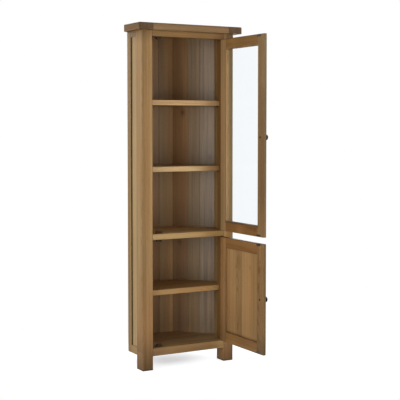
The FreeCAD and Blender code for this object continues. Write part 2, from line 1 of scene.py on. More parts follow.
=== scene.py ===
"""Looks of the oak corner display cabinet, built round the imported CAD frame."""

import json
import math
import random

import bmesh
import bpy
from mathutils import Euler, Matrix, Vector

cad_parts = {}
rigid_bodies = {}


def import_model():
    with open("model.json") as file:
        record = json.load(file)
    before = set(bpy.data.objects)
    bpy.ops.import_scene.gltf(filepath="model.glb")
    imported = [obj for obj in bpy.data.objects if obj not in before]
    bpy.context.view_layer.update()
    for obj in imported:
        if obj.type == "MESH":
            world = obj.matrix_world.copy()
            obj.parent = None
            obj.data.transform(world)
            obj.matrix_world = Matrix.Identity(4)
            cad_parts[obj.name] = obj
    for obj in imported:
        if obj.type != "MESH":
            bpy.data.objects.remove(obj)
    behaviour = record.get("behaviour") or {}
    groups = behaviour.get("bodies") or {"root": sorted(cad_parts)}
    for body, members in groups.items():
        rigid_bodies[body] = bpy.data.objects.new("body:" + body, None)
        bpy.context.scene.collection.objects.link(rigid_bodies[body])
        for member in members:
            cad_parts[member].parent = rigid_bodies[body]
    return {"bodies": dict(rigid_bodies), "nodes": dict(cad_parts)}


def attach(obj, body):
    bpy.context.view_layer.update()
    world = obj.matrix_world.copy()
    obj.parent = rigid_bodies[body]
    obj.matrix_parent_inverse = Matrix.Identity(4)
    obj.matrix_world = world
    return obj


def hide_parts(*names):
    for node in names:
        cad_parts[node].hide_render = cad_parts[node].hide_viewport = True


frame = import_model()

NODES = frame["nodes"]
MM = 0.001
QUARTER = math.pi / 2

# whatever the start scene brought along isn't part of the object
kept = set(NODES.values()) | set(frame["bodies"].values())
for leftover in [o for o in bpy.data.objects if o not in kept]:
    bpy.data.objects.remove(leftover)
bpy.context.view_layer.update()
draw = random.Random(4179)


# ---------------------------------------------------------------- colours and node helpers
def rgb(red, green, blue):
    """Linear colour with full alpha from 0-255 sRGB numbers."""
    def linear(value):
        share = value / 255
        return share / 12.92 if share <= 0.04045 else ((share + 0.055) / 1.055) ** 2.4
    return (linear(red), linear(green), linear(blue), 1.0)


class Tree:
    """Short calls that add nodes to one node tree."""

    def __init__(self, tree):
        self.tree = tree

    def feed(self, socket, value):
        if isinstance(value, bpy.types.NodeSocket):
            self.tree.links.new(value, socket)
        elif value is not None:
            socket.default_value = value

    def add(self, kind, *values, named=None, **settings):
        node = self.tree.nodes.new(kind)
        for name, setting in settings.items():
            setattr(node, name, setting)
        for socket, value in zip(node.inputs, values):
            self.feed(socket, value)
        for name, value in (named or {}).items():
            self.feed(node.inputs[name], value)
        return node

    def math(self, operation, *values):
        return self.add("ShaderNodeMath", *values, operation=operation).outputs[0]

    def vector(self, operation, *values):
        return self.add("ShaderNodeVectorMath", *values, operation=operation).outputs[0]

    def length(self, value):
        return self.add("ShaderNodeVectorMath", value, operation="LENGTH").outputs["Value"]

    def axes(self, value):
        return self.add("ShaderNodeSeparateXYZ", value).outputs

    def all_three(self, value):
        """Vector with the same value three times."""
        return self.add("ShaderNodeCombineXYZ", value, value, value).outputs[0]

    def noise(self, place, cells, detail=2.0, rough=0.5, output="Fac"):
        """Noise with so many cells per metre along each axis."""
        place = self.vector("MULTIPLY", place, cells)
        named = {"Vector": place, "Scale": 1.0, "Detail": detail, "Roughness": rough}
        return self.add("ShaderNodeTexNoise", named=named).outputs[output]

    def smooth(self, value, low, high, to_low=0.0, to_high=1.0):
        named = {"Value": value, "From Min": low, "From Max": high, "To Min": to_low, "To Max": to_high}
        return self.add("ShaderNodeMapRange", named=named, interpolation_type="SMOOTHSTEP").outputs[0]

    def mix(self, factor, first, second, blend="MIX"):
        node = self.add("ShaderNodeMix", data_type="RGBA", blend_type=blend)
        for socket, value in zip((node.inputs[0], node.inputs[6], node.inputs[7]), (factor, first, second)):
            self.feed(socket, value)
        return node.outputs[2]

    def tinted(self, share, colour, tint):
        """Colour, multiplied by a tint as far as share says."""
        return self.mix(share, colour, tint, "MULTIPLY")

    def around_half(self, value, gain):
        """Value's distance from one half, times gain."""
        return self.math("MULTIPLY", self.math("SUBTRACT", value, 0.5), gain)

    def total(self, first, *others):
        for other in others:
            first = self.math("ADD", first, other)
        return first

    def bump(self, main, height, strength, depth):
        """Bump on the shader main, depth in metres."""
        named = {"Strength": strength, "Distance": depth, "Height": height}
        self.feed(main.inputs["Normal"], self.add("ShaderNodeBump", named=named).outputs[0])


def shader(name):
    """New material with its Principled shader, as (material, tree, shader node)."""
    material = bpy.data.materials.new(name)
    material.use_nodes = True
    return material, Tree(material.node_tree), material.node_tree.nodes["Principled BSDF"]


def paint(obj, material):
    """Puts the material in the object's own slot, so that the shared mesh data isn't touched."""
    if not obj.material_slots:
        obj.data.materials.append(material)
    for slot in obj.material_slots:
        slot.link = "OBJECT"
        slot.material = material


# ---------------------------------------------------------------- oak
# Cells of noise per metre along the grain and twice across it, in a board's own frame.
WANDER_CELLS, RIPPLE_CELLS = (1.3, 4, 4), (5, 22, 22)
YEAR_CELLS, DRIFT_CELLS = (3, 45, 45), (0.9, 8, 8)
BROAD_CELLS, STREAK_CELLS, FINE_CELLS = (0.55, 13, 13), (1.6, 95, 95), (11, 620, 620)
PORE_CELLS, RUB_CELLS = (80, 1500, 1500), (40, 160, 160)
WANDER_REACH, RIPPLE_REACH = (0, 0.07, 0.07), (0, 0.008, 0.008)   # metres that they bend the rings
MIDDLE_GREY = (0.5, 0.5, 0.5)
RING_WIDTH = 0.0036                    # metres from one growth ring to the next
KNOT_RINGS = 3.0                       # rings that a whole knot pushes aside
YEAR_GAIN, BROAD_GAIN, STREAK_GAIN, FINE_GAIN = 0.9, 0.95, 0.8, 0.45   # of noise about one half
# Spans for smooth(): low, high, and the values there where they aren't 0 and 1
EARLY_END, EARLY_START = (0.0, 0.55, 1.0, 0.0), (0.9, 1.0)     # dark early wood, in shares of a ring
PORE_SPAN, PORES_BY_WOOD = (0.56, 0.72), (0.0, 1.0, 0.3, 1.0)  # most pores lie in early wood
SHADE_SPAN, DRIFT_SPAN, KNOT_SPAN = (-0.05, 1.05), (0.32, 0.68), (0.62, 0.98)
PALE_RUB, DARK_KNOCK = (0.38, 0.66, 0.0, 0.45), (0.40, 0.24, 0.0, 0.55)   # strengths, over one noise
RUBBED_MIX = 0.55                      # how near a rubbed edge comes to the pale colour
# Shade of the wood, from 0 for the deep colour to 1 for the pale one
MEAN_SHADE, EARLY_SHADE, PORE_SHADE, KNOT_SHADE = 0.62, -0.17, -0.34, -0.35
GREY_DRIFT, RED_DRIFT = (0.95, 1.0, 1.03, 1), (1.05, 0.985, 0.92, 1)
KNOT_BROWN = rgb(62, 40, 24)
KNOCK_TINT = (0.55, 0.5, 0.45, 1)
RIM_TINT = (0.34, 0.31, 0.29, 1)       # darker outermost line of an edge
END_GRAIN_TINT = (0.56, 0.54, 0.58, 1)
OAK_ROUGHNESS = 0.47
OAK_BUMP = (0.5, 0.0005)               # strength, metres
# Turns of local X to the grain's direction. Knots are longer along the grain.
GRAIN_TURNS = {"x": (0, 0, 0), "y": (0, 0, QUARTER), "z": (0, -QUARTER, 0)}
KNOT_SHAPES = {"x": (0.6, 1, 1), "y": (1, 0.6, 1), "z": (1, 1, 0.6)}
KNOT_CORE, KNOT_REACH = 0.15, 1.6      # in radii: where a knot is whole, and where it has faded out
END_FACE = (0.75, 0.92)                # how far a face must look along the grain to show end grain
FRONT_FACING = -0.3                    # Y of the normal of faces that are turned to the front
FIGURE_SPREAD = 40                     # the boards' figures are drawn from so many metres of oak either way
HEART_ACROSS, HEART_DEEP = (25, 70), (45, 120)   # mm from a board's middle to the heart of its tree
SEAM_JUMP = (7.3, 3.1, 5.7)            # moves the figure where one part of a piece meets the next


def wood_group():
    """Solid oak: growth rings round a heart outside the board, streaks, pores, knots, end grain and edges."""
    group = bpy.data.node_groups.new("solid_oak", "ShaderNodeTree")
    inputs = {"Vector": ("Place", "Shift", "Heart"),
              "Float": ("Knot", "Tone", "Streak", "Edge", "Rim", "End"),
              "Color": ("Pale", "Deep", "End Tint")}
    for kind, names in inputs.items():
        for name in names:
            group.interface.new_socket(name, in_out="INPUT", socket_type="NodeSocket" + kind)
    for name, kind in (("Color", "Color"), ("Roughness", "Float"), ("Height", "Float")):
        group.interface.new_socket(name, in_out="OUTPUT", socket_type="NodeSocket" + kind)
    t = Tree(group)
    given = t.add("NodeGroupInput").outputs
    place, knot, end, edge = given["Place"], given["Knot"], given["End"], given["Edge"]
    sample = t.vector("ADD", place, given["Shift"])

    # growth rings, bent by the slow wander of the trunk and by knots
    bent = t.vector("SUBTRACT", place, given["Heart"])
    for cells, reach in ((WANDER_CELLS, WANDER_REACH), (RIPPLE_CELLS, RIPPLE_REACH)):
        off = t.vector("SUBTRACT", t.noise(sample, cells, 2, output="Color"), MIDDLE_GREY)
        bent = t.vector("ADD", bent, t.vector("MULTIPLY", off, reach))
    radius = t.length(t.vector("MULTIPLY", bent, (0, 1, 1)))
    years = t.total(t.math("DIVIDE", radius, RING_WIDTH), t.math("MULTIPLY", knot, KNOT_RINGS),
                    t.around_half(t.noise(sample, YEAR_CELLS, 2), YEAR_GAIN))
    part = t.math("FRACT", years)
    early = t.math("MAXIMUM", t.smooth(part, *EARLY_END), t.smooth(part, *EARLY_START))

    # streaks and pores drawn out along the grain
    broad = t.noise(sample, BROAD_CELLS, 3, 0.55)
    streak = t.noise(sample, STREAK_CELLS, 3, 0.6)
    fine = t.noise(sample, FINE_CELLS, 2, 0.6)
    pores = t.smooth(t.noise(sample, PORE_CELLS, 1), *PORE_SPAN)
    pores = t.math("MULTIPLY", pores, t.smooth(early, *PORES_BY_WOOD))
    lines = t.total(t.around_half(streak, STREAK_GAIN), t.around_half(fine, FINE_GAIN))
    lines = t.math("MULTIPLY", given["Streak"], lines)
    shade = t.total(t.around_half(broad, BROAD_GAIN), lines, MEAN_SHADE,
                    t.math("MULTIPLY", early, EARLY_SHADE), t.math("MULTIPLY", pores, PORE_SHADE),
                    t.math("MULTIPLY", knot, KNOT_SHADE))
    colour = t.mix(t.smooth(shade, *SHADE_SPAN), given["Deep"], given["Pale"])

    # slow drift between greyer and redder oak, then the board's own tone, its knots and its end grain
    drift = t.smooth(t.noise(sample, DRIFT_CELLS, 2), *DRIFT_SPAN)
    colour = t.tinted(1.0, colour, t.mix(drift, GREY_DRIFT, RED_DRIFT))
    colour = t.tinted(1.0, colour, t.all_three(given["Tone"]))
    colour = t.mix(t.smooth(knot, *KNOT_SPAN), colour, KNOT_BROWN)
    colour = t.tinted(end, colour, given["End Tint"])

    # rubbed edges are paler, with the odd dark knock and a darker rim
    rub = t.noise(sample, RUB_CELLS, 3, 0.6)
    pale_rub = t.math("MULTIPLY", edge, t.smooth(rub, *PALE_RUB))
    dark_knock = t.math("MULTIPLY", edge, t.smooth(rub, *DARK_KNOCK))
    colour = t.mix(pale_rub, colour, t.mix(RUBBED_MIX, colour, given["Pale"]))
    colour = t.tinted(dark_knock, colour, KNOCK_TINT)
    colour = t.tinted(t.math("MULTIPLY", edge, given["Rim"]), colour, RIM_TINT)

    rough = t.total(OAK_ROUGHNESS, t.around_half(fine, 0.16), t.around_half(streak, 0.14),
                    t.math("MULTIPLY", pores, 0.2), t.math("MULTIPLY", end, 0.16),
                    t.math("MULTIPLY", edge, -0.05))
    height = t.total(0.6, t.around_half(fine, 0.5), t.math("MULTIPLY", pores, -0.55),
                     t.math("MULTIPLY", early, -0.12), t.math("MULTIPLY", dark_knock, -0.5))
    t.add("NodeGroupOutput", named={"Color": colour, "Roughness": rough, "Height": height})
    return group


WOOD = wood_group()


def local_box(obj, turn):
    """Centre, in the object's own frame, and half sizes of its box in a turned frame."""
    back = turn.to_matrix().transposed()
    points = [back @ v.co for v in obj.data.vertices]
    low = Vector([min(p[i] for p in points) for i in range(3)])
    high = Vector([max(p[i] for p in points) for i in range(3)])
    return turn.to_matrix() @ ((low + high) / 2), (high - low) / 2


def edge_share(t, place, half, worn):
    """1 at the edges of a board's box and 0 from worn mm inwards.

    The distance to the nearest edge is the middle one of the distances to the box's three nearest faces.
    """
    gaps = t.axes(t.vector("SUBTRACT", half, t.vector("ABSOLUTE", place)))
    gaps = [t.math("MAXIMUM", gap, 0.0) for gap in gaps]
    least = t.math("MINIMUM", t.math("MINIMUM", gaps[0], gaps[1]), gaps[2])
    most = t.math("MAXIMUM", t.math("MAXIMUM", gaps[0], gaps[1]), gaps[2])
    middle = t.math("SUBTRACT", t.math("SUBTRACT", t.total(*gaps), least), most)
    return t.smooth(middle, 0.0, worn * MM, 1.0, 0.0)


def patch_distance(t, spot, x, y, half_x, half_y, lowest=None, highest=None):
    """Distance from the middle of an upright patch, 1 at its rim and at least 1 beyond its heights."""
    off = t.vector("SUBTRACT", spot, (x * MM, y * MM, 0))
    away = t.length(t.vector("MULTIPLY", off, (1 / (half_x * MM), 1 / (half_y * MM), 0)))
    if lowest is not None:
        height = t.axes(spot)[2]
        outside = t.math("MAXIMUM", t.math("LESS_THAN", height, lowest * MM),
                         t.math("GREATER_THAN", height, highest * MM))
        away = t.math("MAXIMUM", away, outside)
    return away


def oak(obj, grain, pale, deep, *, tone=1.0, tilt=0.0, streak=1.0, knots=(), seams=(), worn=3.0, rim=0.15,
        gloss=0.14, rough=0.0, fades=(), inner_shades=(), light_shade_and_stain=(), low_tint=None, end_tint=END_GRAIN_TINT):
    """Oak for one piece. All lengths are in mm, and heights are above the floor.

    grain is the axis of the grain, tilt its turn about Z in degrees, streak the strength of its lines.
    knots: (x, y, z, radius, strength).
    seams: (axis index, place, change of tone), where one part of the piece ends and the next begins.
    worn, rim: width of the rubbed edges, and how dark their outermost line is.
    gloss, rough: specular level, and what is added to the wood's own roughness.
    fades: (low, high, factor below, factor above) for the tone.
    inner_shades: the same, but only on faces that are turned to the front; it paints light and shade inside
    the compartments.
    stains: patches of painted light, painted shade and darker wood, as (x, y, half size x, half size y,
    factor or tint), then lowest and highest height if it has limits.
    low_tint: (low, high, tint), whole below the low height and gone above the high one.
    """
    turns = list(GRAIN_TURNS[grain])
    turns[2] += math.radians(tilt)
    turn = Euler(turns)
    centre, half = local_box(obj, turn)
    material, t, main = shader("oak_" + obj.name)
    given = t.add("ShaderNodeTexCoord").outputs
    spot, normal = given["Object"], given["Normal"]
    height = t.axes(spot)[2]
    place = t.add("ShaderNodeMapping", spot, vector_type="TEXTURE",
                  named={"Location": centre, "Rotation": turn}).outputs[0]
    facing = t.add("ShaderNodeMapping", normal, vector_type="TEXTURE", named={"Rotation": turn}).outputs[0]
    along = t.axes(t.vector("ABSOLUTE", facing))[0]

    shift = Vector([draw.uniform(-FIGURE_SPREAD, FIGURE_SPREAD) for _ in range(3)])
    heart = Vector([0] + [draw.choice((-1, 1)) * draw.uniform(*reach) * MM
                          for reach in (HEART_ACROSS, HEART_DEEP)])
    for axis, at, step in seams:
        past = t.math("GREATER_THAN", t.axes(spot)[axis], at * MM)
        tone = t.total(tone, t.math("MULTIPLY", past, step))
        shift = t.vector("ADD", shift, t.vector("MULTIPLY", SEAM_JUMP, t.all_three(past)))

    for low, high, below, above in fades:
        tone = t.math("MULTIPLY", tone, t.smooth(height, low * MM, high * MM, below, above))
    if inner_shades:
        to_front = t.math("LESS_THAN", t.axes(normal)[1], FRONT_FACING)
        for low, high, below, above in inner_shades:
            change = t.math("MULTIPLY", t.smooth(height, low * MM, high * MM, below - 1, above - 1), to_front)
            tone = t.math("MULTIPLY", tone, t.math("ADD", change, 1.0))
    tints = []
    if low_tint:
        low, high, tint = low_tint
        tints.append((t.smooth(height, low * MM, high * MM, 1.0, 0.0), tint))
    for x, y, half_x, half_y, change, *limits in light_shade_and_stain:
        away = patch_distance(t, spot, x, y, half_x, half_y, *limits)
        if isinstance(change, tuple):
            tints.append((t.smooth(away, 0.0, 1.0, 1.0, 0.0), change))
        else:
            tone = t.math("MULTIPLY", tone, t.smooth(away, 0.0, 1.0, change, 1.0))
    knot = 0.0
    for x, y, z, radius, strength in knots:
        off = t.vector("SUBTRACT", spot, Vector((x, y, z)) * MM)
        away = t.length(t.vector("MULTIPLY", off, [k / (radius * MM) for k in KNOT_SHAPES[grain]]))
        knot = t.math("MAXIMUM", knot, t.smooth(away, KNOT_CORE, KNOT_REACH, strength, 0.0))

    looks = {"Place": place, "Shift": shift, "Heart": heart, "Knot": knot, "Tone": tone, "Streak": streak,
             "Edge": edge_share(t, place, half, worn), "Rim": rim, "End": t.smooth(along, *END_FACE),
             "Pale": pale, "Deep": deep, "End Tint": end_tint}
    wood = t.add("ShaderNodeGroup", node_tree=WOOD, named=looks).outputs
    colour = wood["Color"]
    for share, tint in tints:
        colour = t.tinted(share, colour, tint)
    t.feed(main.inputs["Base Color"], colour)
    t.feed(main.inputs["Roughness"], t.math("ADD", wood["Roughness"], rough))
    main.inputs["Specular IOR Level"].default_value = gloss
    t.bump(main, wood["Height"], *OAK_BUMP)
    paint(obj, material)


# Pale and deep colour of each kind of board
FRAME_OAK = (rgb(194, 156, 102), rgb(130, 92, 50))
LEFT_POST_OAK = (rgb(197, 161, 112), rgb(133, 97, 59))
RIGHT_POST_OAK = (rgb(194, 160, 111), rgb(132, 97, 58))
SIDE_PANEL_OAK = (rgb(202, 172, 124), rgb(148, 116, 75))
STILE_OAK = (rgb(178, 144, 100), rgb(114, 84, 54))
LOWER_STILE_OAK = (rgb(182, 142, 94), rgb(116, 80, 47))
UPPER_TOP_RAIL_OAK = (rgb(172, 134, 82), rgb(109, 75, 41))
LOWER_TOP_RAIL_OAK = (rgb(175, 126, 75), rgb(111, 71, 38))
UPPER_BOTTOM_RAIL_OAK = (rgb(173, 126, 74), rgb(110, 69, 37))
LOWER_BOTTOM_RAIL_OAK = (rgb(170, 130, 79), rgb(108, 71, 40))
PANEL_OAK = (rgb(194, 154, 104), rgb(130, 91, 54))
BACK_OAK = (rgb(168, 127, 81), rgb(106, 69, 39))
FLAT_BACK_OAK = (rgb(168, 134, 89), rgb(105, 73, 43))
LEFT_BACK_OAK = (rgb(164, 127, 84), rgb(103, 70, 42))
MIDDLE_BACK_OAK = (rgb(166, 138, 98), rgb(105, 77, 49))
# greyer: in part a painted sheen of the white studio
SHEEN_GREY_BACK_OAK = (rgb(168, 142, 109), rgb(106, 84, 61))
TOP_OAK = (rgb(182, 146, 102), rgb(114, 82, 52))
TOP_SIDE_OAK = (rgb(169, 124, 66), rgb(107, 72, 33))
SHELF_OAK = (rgb(204, 170, 122), rgb(138, 103, 65))
HIGH_SHELF_OAK = (rgb(198, 168, 125), rgb(134, 102, 66))
LOWER_SHELF_OAK = (rgb(201, 160, 106), rgb(136, 97, 56))
FIXED_SHELF_OAK = (rgb(204, 162, 109), rgb(138, 98, 58))
MIDDLE_RAIL_OAK = (rgb(212, 183, 129), rgb(143, 111, 69))

# Places in mm
POST_IN, POST_OUT, POST_FRONT = 219, 279, 35   # x of a front post's inner and outer face, y of its front
LEG_SPAN, POST_SPAN = (-1, 95), (95, 1813)     # heights of the posts below and above the bottom rail's edge
DOOR_GAP_SPAN = (695, 737)
INNER_CORNER = (90, 392)                       # where the flat back meets a 45 degree wall
SHELF_FRONT, SHELF_LIPPING = 79, 101           # y of the loose shelves' front edge, end of its lipping
DOOR_IN, DOOR_OUT = 196, 214                   # x of the open doors' inner and outer face

# Fades: (low height, high height, factor below, factor above)
LEG_SHADE = (-60, 260, 0.34, 1.0)               # painted shade: legs are darker towards the floor
FOOT_SHADE = (1, 12, 0.60, 1.0)                  # painted shade along the arris at the floor
TOP_SHADE = (1735, 1813, 1.0, 0.68)            # the frame is darker under the top
TOP_BOARD_FADE = (1826, 1848, 1.05, 0.88)      # the top's upper arris is darker than its front edge
TOP_SIDE_FADE = (1843, 1850, 1.0, 0.5)
# painted shade high on the flat back, under the top
BACK_HIGH_SHADE = (1385, 1480, 1.0, 0.90)
# painted light and shade on the front posts by height: the right post's lower part is painted lighter
POST_LIGHT_BY_HEIGHT = {"left": (300, 1000, 0.98, 1.05), "right": (300, 1000, 1.13, 1.0)}
# Painted light and shade inside: the walls are darkest just above a shelf and palest below the next one.
COMPARTMENT_SHADES = (
    (150, 320, 0.92, 1.20), (394, 422, 1.0, 0.70), (424, 542, 1.0, 1.33), (560, 680, 1.0, 0.80),
    (778, 940, 1.0, 1.30), (1061, 1089, 1.0, 0.77), (1120, 1260, 1.0, 1.20), (1420, 1448, 1.0, 0.87),
    (1480, 1600, 1.0, 1.10))

# Tints, the first with its heights
LOW_TINT = {"left": (100, 700, (1.03, 0.92, 0.88, 1)), "right": (60, 160, (1.01, 0.93, 0.98, 1))}
RETURN_TINT = (1.0, 1.06, 1.16, 1)
STILE_TINT = (1.0, 1.04, 1.16, 1)
BACK_TINT = (1.0, 1.05, 1.14, 1)
WALL_TINT = (1.0, 1.12, 1.42, 1)
# A front post's inner face and the right post's front in the gap between the doors lie in shade: these two
# tints are painted shade.
INNER_FACE_SHADE_TINT = (1.05, 0.87, 0.68, 1)
DOOR_GAP_SHADE_TINT = (1.00, 0.84, 0.70, 1)
TOP_END_TINT = (0.72, 0.88, 1.90, 1)

# Flat back's boards: palette, tone, fades of their own that paint light and shade by height
BACK_LOOKS = {"left": (LEFT_BACK_OAK, 0.93, ((180, 480, 0.88, 1.04), (850, 1600, 0.90, 1.20))),
              "right": (FLAT_BACK_OAK, 0.97, ((600, 1300, 1.15, 1.0),))}
# 45 degree walls' boards, counted from the flat back: palette, tone, strength of the streaks. The third
# board's greyer palette is in part a painted sheen.
WALL_LOOKS = {1: (BACK_OAK, 1.06, 0.5), 2: (MIDDLE_BACK_OAK, 1.06, 1.0), 3: (SHEEN_GREY_BACK_OAK, 0.98, 1.7)}
WALL_KNOTS = {("right", 1): ((132, 350, 1385, 15, 0.8), (120, 362, 640, 11, 0.6)),
              ("right", 3): ((246, 236, 1128, 10, 0.55),)}
TOP_SIDE_TONES = {"left": 0.75, "right": 0.86}

# What boards of one kind share
RETURN_GLOSS = 0.07
# the backs' wear also carries the painted light and shade of the compartments
BACK_WEAR_AND_SHADE = {"worn": 4.0, "rim": 0.8, "rough": -0.08, "inner_shades": COMPARTMENT_SHADES}
TOP_WEAR = {"worn": 6.0, "rim": 0.4}
DOOR_WEAR = {"worn": 2.2, "rim": 0.8, "streak": 0.7}


def post_light_and_shade(way):
    """Painted light and shade on a front post: painted shade on the inner face with a painted shadow line at
    its front and a warm tint in that shade, a painted highlight along the inner front arris, painted light on
    the leg's inner and outer faces, and a darker patch at the outer front corner; way being -1 for the left
    one and 1 for the right one.
    """
    inner, outer = way * POST_IN, way * POST_OUT
    return ((inner, 85, 9, 62, 0.50, *POST_SPAN), (outer, POST_FRONT, 45, 32, 0.86),
            (way * 227, POST_FRONT, 9, 8, 1.14, *POST_SPAN), (inner, 44, 3, 24, 0.42, *POST_SPAN),
            (inner, 85, 6, 90, 1.45, *LEG_SPAN), (outer, 80, 6, 90, 1.25, *LEG_SPAN),
            (inner, 75, 4, 90, INNER_FACE_SHADE_TINT, *POST_SPAN))


for side, way, post, extra_shade in (
        ("left", -1, LEFT_POST_OAK, ()),
        ("right", 1, RIGHT_POST_OAK, ((250, POST_FRONT, 60, 60, DOOR_GAP_SHADE_TINT, *DOOR_GAP_SPAN),))):
    oak(NODES["front_post_" + side], "z", *post, tone=0.95, streak=0.7, gloss=0.05,
        fades=(LEG_SHADE, TOP_SHADE, FOOT_SHADE, POST_LIGHT_BY_HEIGHT[side]), light_shade_and_stain=post_light_and_shade(way) + extra_shade,
        low_tint=LOW_TINT[side])
    oak(NODES["rear_leg_" + side], "z", *FRAME_OAK, tone=0.9, fades=(LEG_SHADE,))
    # Side frame: painted shade under the top, lighter lower down, and a painted shadow line in the recess
    # between the rear stile and the panel, with a lighter patch beside it.
    oak(NODES["side_stile_" + side], "z", *FRAME_OAK, tone=0.73, streak=0.7, gloss=RETURN_GLOSS,
        fades=((1765, 1813, 1.0, 0.76), (800, 1300, 1.12, 0.97)), low_tint=(150, 1000, STILE_TINT),
        light_shade_and_stain=((way * 265, 196, 8, 40, 1.10), (way * 276, 175, 9, 3.5, 0.16)))
    oak(NODES["side_top_rail_" + side], "y", *FRAME_OAK, tone=0.64, gloss=RETURN_GLOSS,
        fades=((1765, 1813, 1.0, 0.80),))
    oak(NODES["side_bottom_rail_" + side], "y", *FRAME_OAK, tone=0.8)
    # Side panel: painted shade under the top and a painted shadow in the recess along its rear edge; the
    # other fades set its tone by height.
    oak(NODES["side_panel_" + side], "z", *SIDE_PANEL_OAK, tone=0.98, streak=0.6, gloss=RETURN_GLOSS,
        fades=((300, 1100, 1.14, 1.0), (1740, 1790, 1.0, 0.85), (650, 850, 1.0, 1.16),
               (1240, 1400, 1.0, 0.90)),
        light_shade_and_stain=((way * 273, 178, 8, 15, 0.30),), low_tint=(500, 1500, RETURN_TINT))

    # Painted shade in the inner corner, painted light on the flat back beside it, and painted light on wall 1
    # near the corner.
    corner = (way * INNER_CORNER[0], INNER_CORNER[1])
    corner_shade, corner_light = (*corner, 9, 9, 0.86), (*corner, 78, 30, 1.62)
    palette, tone, own_fades = BACK_LOOKS[side]
    oak(NODES["back_board_" + side], "z", *palette, tone=tone, gloss=0.45, streak=0.4,
        fades=own_fades + (BACK_HIGH_SHADE,), light_shade_and_stain=(corner_shade, corner_light), low_tint=(1300, 1600, BACK_TINT),
        **BACK_WEAR_AND_SHADE)
    oak(NODES["top_side_board_" + side], "y", *TOP_SIDE_OAK, tone=TOP_SIDE_TONES[side], gloss=0.05,
        end_tint=TOP_END_TINT, fades=(TOP_SIDE_FADE,), **TOP_WEAR)
    for number, (palette, tone, streak) in WALL_LOOKS.items():
        by_corner = number == 1
        oak(NODES["wall_board_%s_%d" % (side, number)], "z", *palette, tone=tone, tilt=-45 * way, gloss=0.5,
            streak=streak, light_shade_and_stain=(corner_shade, (way * 150, 332, 48, 48, 1.2)) if by_corner else (),
            low_tint=(200, 1300, WALL_TINT) if by_corner else None,
            knots=WALL_KNOTS.get((side, number), ()), **BACK_WEAR_AND_SHADE)

# Painted shade at the frieze's and middle rail's right ends by the right post, a darker left end on the
# frieze, and on the bottom rail painted shade at the left end and painted light at the right one.
for name, palette, tone, light_shade_and_stain in (
        ("frieze_rail", FRAME_OAK, 0.76,
         ((-200, POST_FRONT, 170, 60, 0.88), (POST_IN, POST_FRONT, 90, 60, (0.70, 0.60, 0.58, 1)))),
        ("middle_rail", MIDDLE_RAIL_OAK, 1.18,
         ((POST_IN, POST_FRONT, 200, 60, (0.62, 0.53, 0.38, 1)),)),
        ("bottom_rail", RIGHT_POST_OAK, 0.90,
         ((-POST_IN, POST_FRONT, 120, 60, (0.84, 0.80, 0.86, 1)),
          (POST_IN, POST_FRONT, 90, 60, (1.17, 1.23, 1.20, 1))))):
    oak(NODES[name], "x", *palette, tone=tone, streak=0.8, light_shade_and_stain=light_shade_and_stain)
for name, tone in (("top_board_front", 0.84), ("top_board_middle", 0.98), ("top_board_rear", 0.92)):
    oak(NODES[name], "x", *TOP_OAK, tone=tone, fades=(TOP_BOARD_FADE,), **TOP_WEAR)
# painted shade at the fixed shelf's right end, by the right post
oak(NODES["fixed_shelf"], "x", *FIXED_SHELF_OAK, tone=0.98,
    light_shade_and_stain=((235, 120, 90, 150, (0.70, 0.58, 0.50, 1)),))
oak(NODES["bottom_board"], "x", *SHELF_OAK, tone=0.88)
# A shelf's front lipping is painted lighter and its top behind the lipping painted darker, for the light that
# falls on them; a painted shade lies at the right end of its front edge.
for name, palette, tone, top_tone, shade_reach, shade in (
        ("upper_shelf_high", HIGH_SHELF_OAK, 1.46, 0.68, 150, (0.74, 0.70, 0.64, 1)),
        ("upper_shelf_low", SHELF_OAK, 1.42, 0.68, 210, (0.50, 0.41, 0.32, 1)),
        ("lower_shelf", LOWER_SHELF_OAK, 1.20, 0.92, 110, (0.72, 0.74, 0.72, 1))):
    oak(NODES[name], "x", *palette, tone=tone, seams=((1, SHELF_LIPPING, top_tone - tone),),
        light_shade_and_stain=((POST_IN, SHELF_FRONT, shade_reach, 40, shade),))

SIGHT_FACE_HIGHLIGHT = (207, -28, 10, 6, 1.5)    # painted highlight on the edge of the glass opening that faces the front
DOOR_TOP_FADES = {"upper": (1774, 1780, 1.0, 0.50), "lower": (695.0, 698.5, 1.0, 0.3)}
# painted shadow at the foot of the glazing beads, along the bottom rail
BEAD_SHADOW = (776, 800, 0.3, 1.0)
# painted shadow line along the panel's bottom edge, and darker lower down
PANEL_SHADES = ((170, 192, 0.30, 1.0), (190, 430, 0.87, 1.0))
PANEL_SEAMS = ((1, -184, -0.06), (1, -113, 0.04))
DOOR_FADES = {
    "upper_door_free_stile": ((740, 1000, 1.26, 0.95), (1440, 1560, 1.0, 1.20)),
    "upper_door_hinge_stile": ((1560, 1720, 1.0, 0.88),),
    "lower_door_free_stile": ((119, 260, 0.62, 1.0),),
    "lower_door_hinge_stile": ((120, 320, 0.68, 1.0),)}
